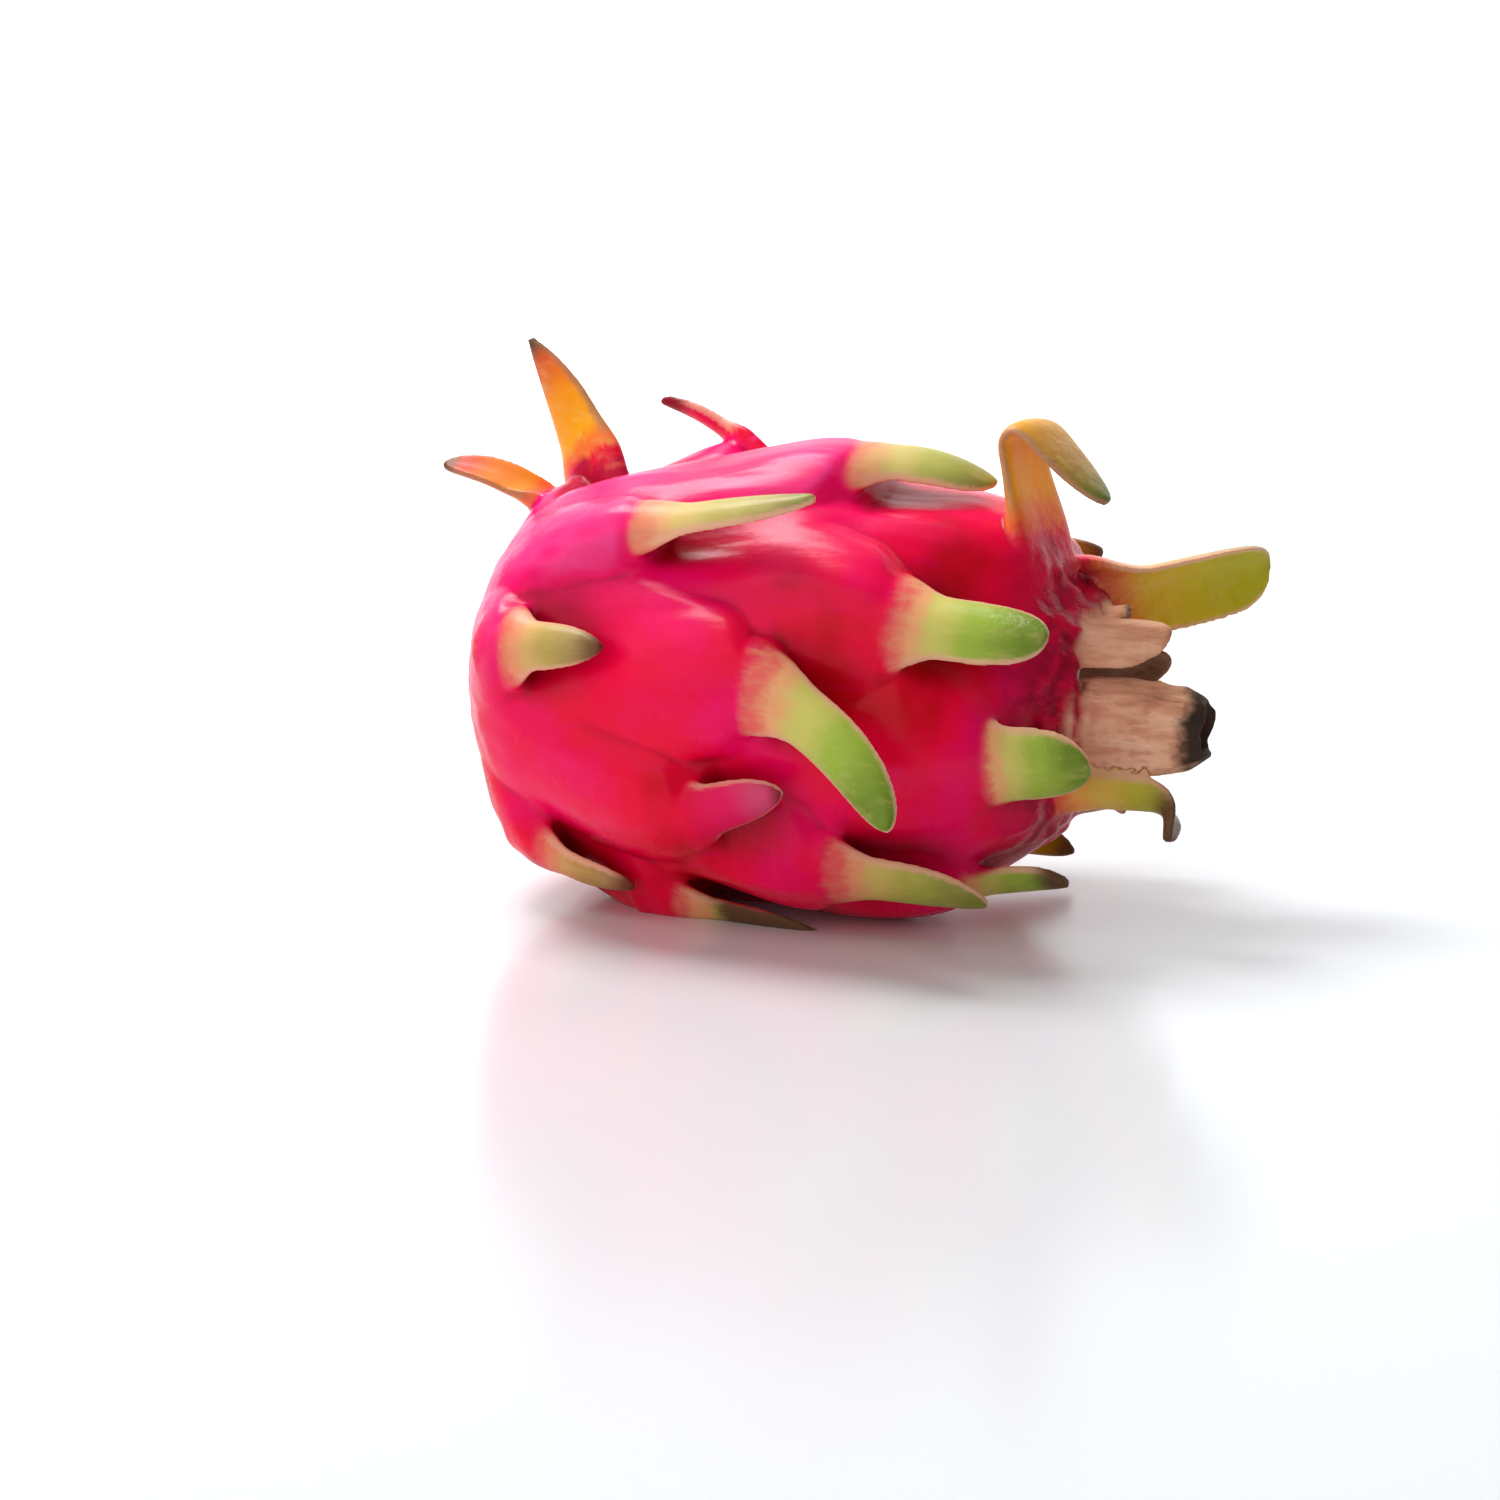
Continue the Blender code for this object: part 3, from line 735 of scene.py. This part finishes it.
def labels_of(blade, burnt, warm=0.0, rosy=0.0, dried=0.0):
    """A row of labels for each point of a blade, in the order of LABELS."""
    size = blade.share.size
    same = [np.full(size, value) for value in (warm, rosy, burnt, dried)]
    return np.stack([blade.share.ravel(), np.abs(blade.across.ravel()), blade.inner.ravel()] + same, 1)


def sunk_below(mesh, points):
    """How far points lie under a smoothed copy of their mesh: creases are sunk, and crests stand out."""
    normals = np.empty(3 * len(points))
    mesh.vertex_normals.foreach_get("vector", normals)
    smooth = relax(points, edges_of(mesh), np.full(len(points), CREASE_SMOOTHING), CREASE_ROUNDS)
    return np.sum((smooth - points) * normals.reshape(-1, 3), axis=1)


def add_attributes(mesh, labels, tree):
    """Says on each point what it belongs to, for the material to colour, and where it gets painted shade,
    in hollows under the scales and in creases, or painted highlight on crests.
    """
    points = coordinates(mesh)
    index, gap = nearest(tree, points)
    store = dict(zip(LABELS, labels[index].T))
    along = points[:, 0]
    past_rim = along - CROWN_REACH
    radius = np.linalg.norm(points[:, 1:] - np.array([0, AXIS_HEIGHT]), axis=1)
    close = change(gap, NEAR_BLADE)
    inside_rim = change(RIM_RADIUS - radius, INSIDE_RIM)

    is_dried = store["dried"] > 0.5
    shows_dried = np.maximum(change(past_rim, DRIED_PAST_RIM), inside_rim)
    shows_scale = np.maximum(change(height_over_skin(points), OVER_SKIN), change(past_rim, SCALE_PAST_RIM))
    store["dried"] = np.where(is_dried, close * shows_dried, 0)
    store["scaly"] = np.where(is_dried, 0, close * shows_scale)
    in_recess = inside_rim * change(past_rim + RECESS_DEPTH, OVER_FLOOR)
    store["recess"] = in_recess * (1 - store["dried"]) * (1 - store["scaly"])
    store["rim"] = smooth_step((past_rim + RIM_SHADE) / RIM_SHADE)
    in_stub = change(STUB_DIAMETER / 2 - radius, STUB_INWARD)
    store["stub"] = in_stub * change(-STEM_REACH - along, STUB_OUTWARD)

    offset = points - on_axis(along)
    around = np.degrees(np.arctan2(-offset[:, 1], offset[:, 2]))
    # Mask for painted shade in the hollows under the scales.
    store["hollow"] = hollow(np.clip(along, -STEM_REACH, CROWN_REACH), around) / HOLLOW_DEPTH
    sunk = sunk_below(mesh, points) / CREASE_DEPTH
    # Mask for painted shade in creases.
    store["crease_shade"] = smooth_step(sunk)
    # Mask for painted highlight on crests.
    store["crest_highlight"] = smooth_step(-sunk)
    for name, data in store.items():
        attribute = mesh.attributes.new(name, "FLOAT", "POINT")
        attribute.data.foreach_set("value", data.astype(np.float32))


def srgb(red, green, blue):
    """A colour for a shader, from sRGB values from 0 to 255."""
    def linear(value):
        value /= 255
        return value / 12.92 if value <= 0.04045 else ((value + 0.055) / 1.055) ** 2.4
    return (linear(red), linear(green), linear(blue), 1)


class Nodes:
    """Adds nodes to a material's tree, with short calls for the kinds used here."""

    def __init__(self, material):
        material.use_nodes = True
        self.tree = material.node_tree
        self.shader = self.tree.nodes["Principled BSDF"]

    def put(self, socket, value):
        """Links an output to a socket, or sets the socket's own value."""
        if isinstance(value, bpy.types.NodeSocket):
            self.tree.links.new(value, socket)
        else:
            socket.default_value = value

    def attribute(self, name):
        """One of the mesh's own values."""
        node = self.tree.nodes.new("ShaderNodeAttribute")
        node.attribute_name = name
        return node.outputs["Fac"]

    def maths(self, kind, first, second=0.0, third=0.0):
        """A sum, product or other simple formula of two or three values."""
        node = self.tree.nodes.new("ShaderNodeMath")
        node.operation = kind
        for socket, value in zip(node.inputs, (first, second, third)):
            self.put(socket, value)
        return node.outputs[0]

    def times(self, first, *others):
        """The product of several values."""
        for other in others:
            first = self.maths("MULTIPLY", first, other)
        return first

    def plus(self, first, *others):
        """The sum of several values."""
        for other in others:
            first = self.maths("ADD", first, other)
        return first

    def line(self, value, slope, start):
        """`start` where value is 0, changing by `slope` by the time it is 1."""
        return self.maths("MULTIPLY_ADD", value, slope, start)

    def between(self, value, low, high):
        """0 where value is below low, 1 above high, and a smooth rise between."""
        node = self.tree.nodes.new("ShaderNodeMapRange")
        node.interpolation_type = "SMOOTHSTEP"
        self.put(node.inputs["Value"], value)
        self.put(node.inputs["From Min"], low)
        self.put(node.inputs["From Max"], high)
        return node.outputs["Result"]

    def place(self):
        """The place of a point in its object's own space, as a vector and as its X, Y and Z."""
        vector = self.tree.nodes.new("ShaderNodeTexCoord").outputs["Object"]
        parts = self.tree.nodes.new("ShaderNodeSeparateXYZ")
        self.put(parts.inputs[0], vector)
        return vector, parts.outputs

    def noise(self, scale, detail=3.0, roughness=0.5, stretch=(1, 1, 1)):
        """Cloudy values from 0 to 1 in the fruit's own space."""
        mapping = self.tree.nodes.new("ShaderNodeMapping")
        mapping.inputs["Scale"].default_value = stretch
        self.put(mapping.inputs["Vector"], self.place()[0])
        node = self.tree.nodes.new("ShaderNodeTexNoise")
        node.inputs["Scale"].default_value = scale
        node.inputs["Detail"].default_value = detail
        node.inputs["Roughness"].default_value = roughness
        self.put(node.inputs["Vector"], mapping.outputs["Vector"])
        return node.outputs["Fac"]

    def upper(self):
        """Where the painted top highlight falls: 1 on the fruit's upper side near the stem end, and 0
        below its middle.
        """
        _, place = self.place()
        height = self.line(place["X"], -TOP_HIGHLIGHT_SLANT, place["Z"])
        return self.between(height, AXIS_HEIGHT + TOP_HIGHLIGHT_FROM, AXIS_HEIGHT + TOP_HIGHLIGHT_FULL)

    def mix(self, share, first, second):
        """A colour between two colours, each an output or three sRGB values."""
        node = self.tree.nodes.new("ShaderNodeMix")
        node.data_type = "RGBA"
        self.put(node.inputs["Factor"], share)
        for name, color in (("A", first), ("B", second)):
            self.put(node.inputs[name], srgb(*color) if isinstance(color, tuple) else color)
        return node.outputs["Result"]

    def ramp(self, value, stops):
        """A colour read from stops of (place, sRGB values)."""
        node = self.tree.nodes.new("ShaderNodeValToRGB")
        node.color_ramp.interpolation = "EASE"
        while len(node.color_ramp.elements) < len(stops):
            node.color_ramp.elements.new(0.5)
        for element, (place, color) in zip(node.color_ramp.elements, stops):
            element.position = place
            element.color = srgb(*color)
        self.put(node.inputs["Fac"], value)
        return node.outputs["Color"]


def skin_color(nodes, streaks, folds):
    """Colours of the skin: magenta, with painted highlight that makes it pinker on top and paler on crests
    there, painted shade in deep red in creases and in the hollows under the scales, and dark at the rim.
    """
    crease_shade, crest_highlight, hollow_shade, rim = (nodes.attribute(name) for name in ("crease_shade", "crest_highlight", "hollow", "rim"))
    upper = nodes.upper()
    skin = nodes.ramp(nodes.noise(36, 3), SKIN)
    # Painted highlight: pinker skin on the fruit's top.
    skin = nodes.mix(nodes.times(upper, 0.6), skin, SKIN_TOP_HIGHLIGHT)
    # Painted highlight: paler pink on crests on the fruit's top.
    skin = nodes.mix(nodes.times(upper, crest_highlight, 0.35), skin, SKIN_CREST_HIGHLIGHT)
    skin = nodes.mix(nodes.times(nodes.between(streaks, 0.55, 0.76), 0.25), skin, SKIN_STREAK)
    # Painted shade: deep red in the creases.
    skin = nodes.mix(nodes.times(crease_shade, 0.75), skin, SKIN_CREASE_SHADE)
    # Painted shade: deep red in the hollows under the scales.
    skin = nodes.mix(nodes.times(nodes.between(hollow_shade, 0.15, 0.9), 0.70), skin, SKIN_HOLLOW_SHADE)
    return nodes.mix(nodes.times(rim, 0.85), skin, nodes.mix(folds, RIM_DARK, RIM_LIGHT))


def leaf_color(nodes):
    """Colours of the scales: from the skin's pink over peach to green, with a pale margin, and a painted
    highlight that makes them paler on the fruit's upper side.
    """
    grown, across, inner = (nodes.attribute(name) for name in ("grown", "across", "inner"))
    warm, rosy, burnt = (nodes.attribute(name) for name in ("warm", "rosy", "burnt"))
    wander = nodes.times(nodes.maths("SUBTRACT", nodes.noise(110, 3), 0.5), 0.20)
    place = nodes.plus(grown, wander)
    # Painted highlight: paler green on the fruit's upper side.
    green = nodes.mix(nodes.times(nodes.upper(), 0.35), nodes.ramp(place, GREEN_LEAF), LEAF_TOP_HIGHLIGHT)
    leaf = nodes.mix(nodes.times(inner, 0.8), green, nodes.ramp(place, LEAF_INSIDE))
    warmth = nodes.times(warm, nodes.maths("SUBTRACT", 1.3, grown))
    leaf = nodes.mix(nodes.between(warmth, 0.0, 1.0), leaf, nodes.ramp(place, YELLOW_LEAF))
    leaf = nodes.mix(rosy, leaf, nodes.ramp(place, PINK_LEAF))
    mottled = nodes.between(nodes.noise(420, 4, 0.6, (0.4, 1, 1)), 0.45, 0.75)
    mottled = nodes.times(mottled, nodes.line(rosy, -0.26, 0.26), nodes.line(inner, -0.6, 1.0))
    leaf = nodes.mix(mottled, leaf, LEAF_MOTTLE)
    margin = nodes.times(nodes.between(across, 0.80, 0.97), nodes.between(grown, 0.06, 0.25))
    edge = nodes.mix(nodes.between(warm, 0.2, 1.2), LEAF_EDGE, LEAF_EDGE_WARM)
    leaf = nodes.mix(nodes.times(margin, 0.80), leaf, edge)
    starts = nodes.line(burnt, -0.80, 1.0)
    tip = nodes.between(place, starts, nodes.plus(starts, 0.22))
    return nodes.mix(tip, leaf, nodes.mix(rosy, LEAF_TIP, LEAF_TIP_ROSY))


def dried_color(nodes, wrinkles):
    """Colours of the dried flower: tan with streaks, pinkish at its root and dark at its end."""
    grown, inner, burnt = (nodes.attribute(name) for name in ("grown", "inner", "burnt"))
    wander = nodes.times(nodes.maths("SUBTRACT", nodes.noise(160, 3), 0.5), 0.16)
    place = nodes.plus(grown, wander)
    dry = nodes.ramp(wrinkles, DRY)
    dry = nodes.mix(nodes.times(nodes.between(place, 0.75, 0.15), 0.50), dry, DRY_ROOT)
    starts = nodes.line(burnt, -0.25, 1.12)
    dry = nodes.mix(nodes.between(place, starts, nodes.plus(starts, 0.10)), dry, DRY_BURNT)
    return nodes.mix(nodes.times(inner, 0.75), dry, DRY_INSIDE)


def fruit_material():
    """Magenta skin, scales that run from pink over peach to green and brown, and dried tan remains."""
    material = bpy.data.materials.new("fruit_skin")
    nodes = Nodes(material)
    shader = nodes.shader.inputs
    scaly, dried, recess, stub, rim = (
        nodes.attribute(name) for name in ("scaly", "dried", "recess", "stub", "rim"))
    streaks = nodes.noise(240, 3, 0.55, (0.14, 1, 1))
    wrinkles = nodes.noise(300, 4, 0.6, (0.22, 1, 1))
    folds = nodes.between(nodes.noise(330, 4, 0.6), 0.35, 0.65)

    color = nodes.mix(scaly, skin_color(nodes, streaks, folds), leaf_color(nodes))
    color = nodes.mix(recess, color, nodes.mix(wrinkles, RECESS_DARK, RECESS_LIGHT))
    color = nodes.mix(stub, color, nodes.mix(wrinkles, STUB_DARK, STUB_LIGHT))
    color = nodes.mix(dried, color, dried_color(nodes, wrinkles))
    nodes.put(shader["Base Color"], color)

    withered = nodes.maths("MAXIMUM", dried, nodes.maths("MAXIMUM", recess, stub))
    rough = nodes.line(nodes.noise(90, 3), ROUGHNESS_CHANGE, SKIN_ROUGHNESS)
    rough = nodes.plus(rough, nodes.times(withered, DRIED_ROUGHNESS), nodes.times(scaly, SCALE_ROUGHNESS))
    nodes.put(shader["Roughness"], rough)
    shader["Specular IOR Level"].default_value = SPECULAR_LEVEL
    shader["Subsurface Weight"].default_value = SUBSURFACE
    shader["Subsurface Radius"].default_value = SUBSURFACE_RADIUS
    shader["Subsurface Scale"].default_value = SUBSURFACE_SCALE

    pores = nodes.noise(900, 3, 0.6)
    relief = nodes.plus(nodes.times(pores, 0.12), nodes.times(streaks, 0.6),
                        nodes.times(wrinkles, withered, 3.0), nodes.times(folds, rim, 0.6))
    bump = nodes.tree.nodes.new("ShaderNodeBump")
    bump.inputs["Strength"].default_value = BUMP_STRENGTH
    bump.inputs["Distance"].default_value = BUMP_DISTANCE
    nodes.put(bump.inputs["Height"], relief)
    nodes.put(shader["Normal"], bump.outputs["Normal"])
    return material


def make_stage():
    """A plain white sweep: a floor that curves up into a softly glowing wall far behind the fruit."""
    outline = [(SWEEP_FRONT, 0.0)] + [(SWEEP_BACK * step / 4, 0.0) for step in range(-2, 4)]
    for step in range(17):
        angle = pi / 2 * step / 16
        outline.append((SWEEP_BACK + SWEEP_ROUNDING * sin(angle), SWEEP_ROUNDING * (1 - cos(angle))))
    outline.append((SWEEP_BACK + SWEEP_ROUNDING, SWEEP_HEIGHT))
    vertices = [(side * SWEEP_WIDTH / 2, y, z) for y, z in outline for side in (-1, 1)]
    faces = [(2 * i, 2 * i + 1, 2 * i + 3, 2 * i + 2) for i in range(len(outline) - 1)]
    mesh = bpy.data.meshes.new("sweep")
    mesh.from_pydata(vertices, [], faces)
    mesh.shade_smooth()
    mesh.materials.append(sweep_material())
    sweep = bpy.data.objects.new("sweep", mesh)
    bpy.context.scene.collection.objects.link(sweep)


def sweep_material():
    """Plain white, a little glossy, with a glow that rises behind the fruit."""
    material = bpy.data.materials.new("sweep")
    nodes = Nodes(material)
    nodes.shader.inputs["Base Color"].default_value = SWEEP_COLOR
    nodes.shader.inputs["Roughness"].default_value = SWEEP_ROUGHNESS
    nodes.shader.inputs["Emission Color"].default_value = (1, 1, 1, 1)
    _, place = nodes.place()
    glow = nodes.times(nodes.between(place["Y"], GLOW_FROM, GLOW_FULL), WALL_GLOW)
    nodes.put(nodes.shader.inputs["Emission Strength"], glow)
    return material


def area_light(name, place, target, size, power):
    """A square soft white light at a place, turned towards a target."""
    lamp = bpy.data.lights.new(name, "AREA")
    lamp.size = size
    lamp.energy = power
    obj = bpy.data.objects.new(name, lamp)
    bpy.context.scene.collection.objects.link(obj)
    obj.location = place
    obj.rotation_euler = (target - place).to_track_quat("-Z", "Y").to_euler()


def make_lights(middle):
    """Soft studio light: the main one overhead, and a wide one that fills the front from the left."""
    area_light("main", middle + Vector(MAIN_LIGHT), middle, MAIN_LIGHT_SIZE, MAIN_LIGHT_POWER)
    area_light("fill", middle + Vector(FILL_LIGHT), middle, FILL_LIGHT_SIZE, FILL_LIGHT_POWER)
    world = bpy.data.worlds.new("studio")
    bpy.context.scene.world = world
    world.use_nodes = True
    background = world.node_tree.nodes["Background"]
    background.inputs["Color"].default_value = SKY_COLOR
    background.inputs["Strength"].default_value = SKY_LIGHT


def make_camera(middle):
    """The camera at the photograph's viewing angle."""
    yaw, elevation = radians(VIEW_YAW), radians(VIEW_ELEVATION)
    right = Vector((cos(yaw), sin(yaw), 0))
    back = Vector((sin(yaw) * cos(elevation), -cos(yaw) * cos(elevation), sin(elevation)))
    up = back.cross(right)
    camera = bpy.data.cameras.new("camera")
    camera.lens = LENS_MM
    camera.sensor_width = SENSOR_MM
    obj = bpy.data.objects.new("camera", camera)
    bpy.context.scene.collection.objects.link(obj)
    aim = middle - right * MIDDLE_RIGHT - up * MIDDLE_UP
    place = aim + back * FRAME_WIDTH * LENS_MM / SENSOR_MM
    obj.matrix_world = Matrix.Translation(place) @ Matrix((right, up, back)).transposed().to_4x4()
    bpy.context.scene.camera = obj


fruit = build_fruit()
fruit.data.materials.clear()
fruit.data.materials.append(fruit_material())
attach(fruit, "root")
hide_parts(NODE)

make_stage()
middle = (CAD_LOW + CAD_HIGH) / 2
make_lights(middle)
make_camera(middle)
bpy.context.scene.view_settings.view_transform = "Standard"
